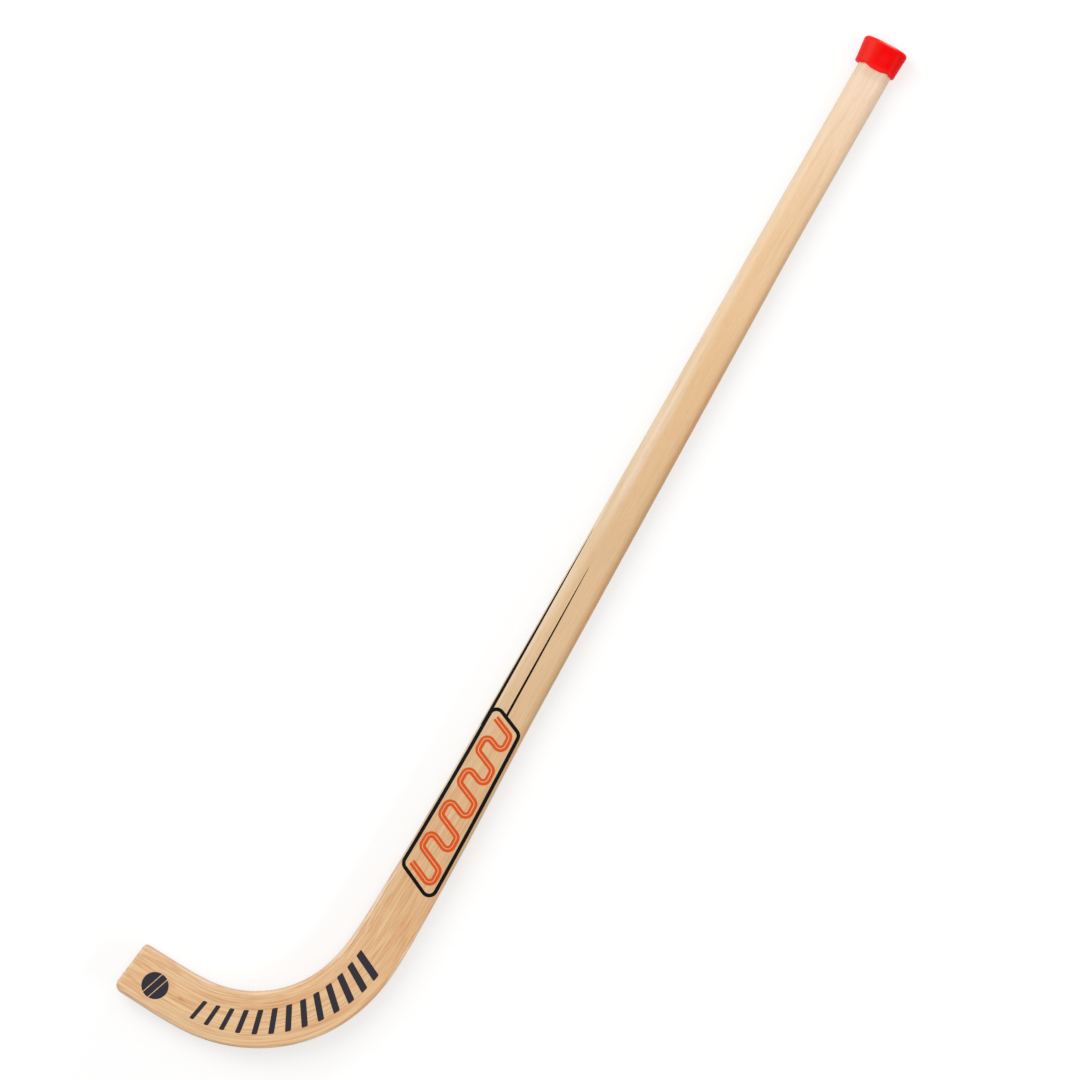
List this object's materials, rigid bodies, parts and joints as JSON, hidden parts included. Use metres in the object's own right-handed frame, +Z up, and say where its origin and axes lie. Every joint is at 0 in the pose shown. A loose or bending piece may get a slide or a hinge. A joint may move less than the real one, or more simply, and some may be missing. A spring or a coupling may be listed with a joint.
{
  "type": "roller hockey stick",
  "caption": "Wooden roller hockey stick with a rounded tapering shaft, a laminated blade bent at a right angle, flat faces and a flared rubber butt cap.",
  "frame": {"origin": "middle of the box around the lying stick, on the plane that it lies on", "axes": "+X along the straight shaft towards the butt, +Y the way that the blade points from the shaft, +Z up, square to the flat faces"},
  "size_m": [0.9946, 0.1952, 0.029],
  "materials": {
    "ash_wood": "satin",
    "cap_rubber": "gloss"
  },
  "bodies": {
    "stick": {"lath_01": "ash_wood", "lath_02": "ash_wood", "lath_03": "ash_wood", "lath_04": "ash_wood", "lath_05": "ash_wood", "lath_06": "ash_wood", "lath_07": "ash_wood", "lath_08": "ash_wood", "lath_09": "ash_wood", "lath_10": "ash_wood", "lath_11": "ash_wood", "lath_12": "ash_wood", "lath_13": "ash_wood", "lath_14": "ash_wood", "lath_15": "ash_wood", "lath_16": "ash_wood"},
    "cap": {"butt_cap": "cap_rubber"}
  },
  "joints": [
    {"name": "cap_pull_off", "type": "slide", "parent": "stick", "child": "cap", "axis": [1, 0, 0], "range_m": [0, 0.03]}
  ]
}
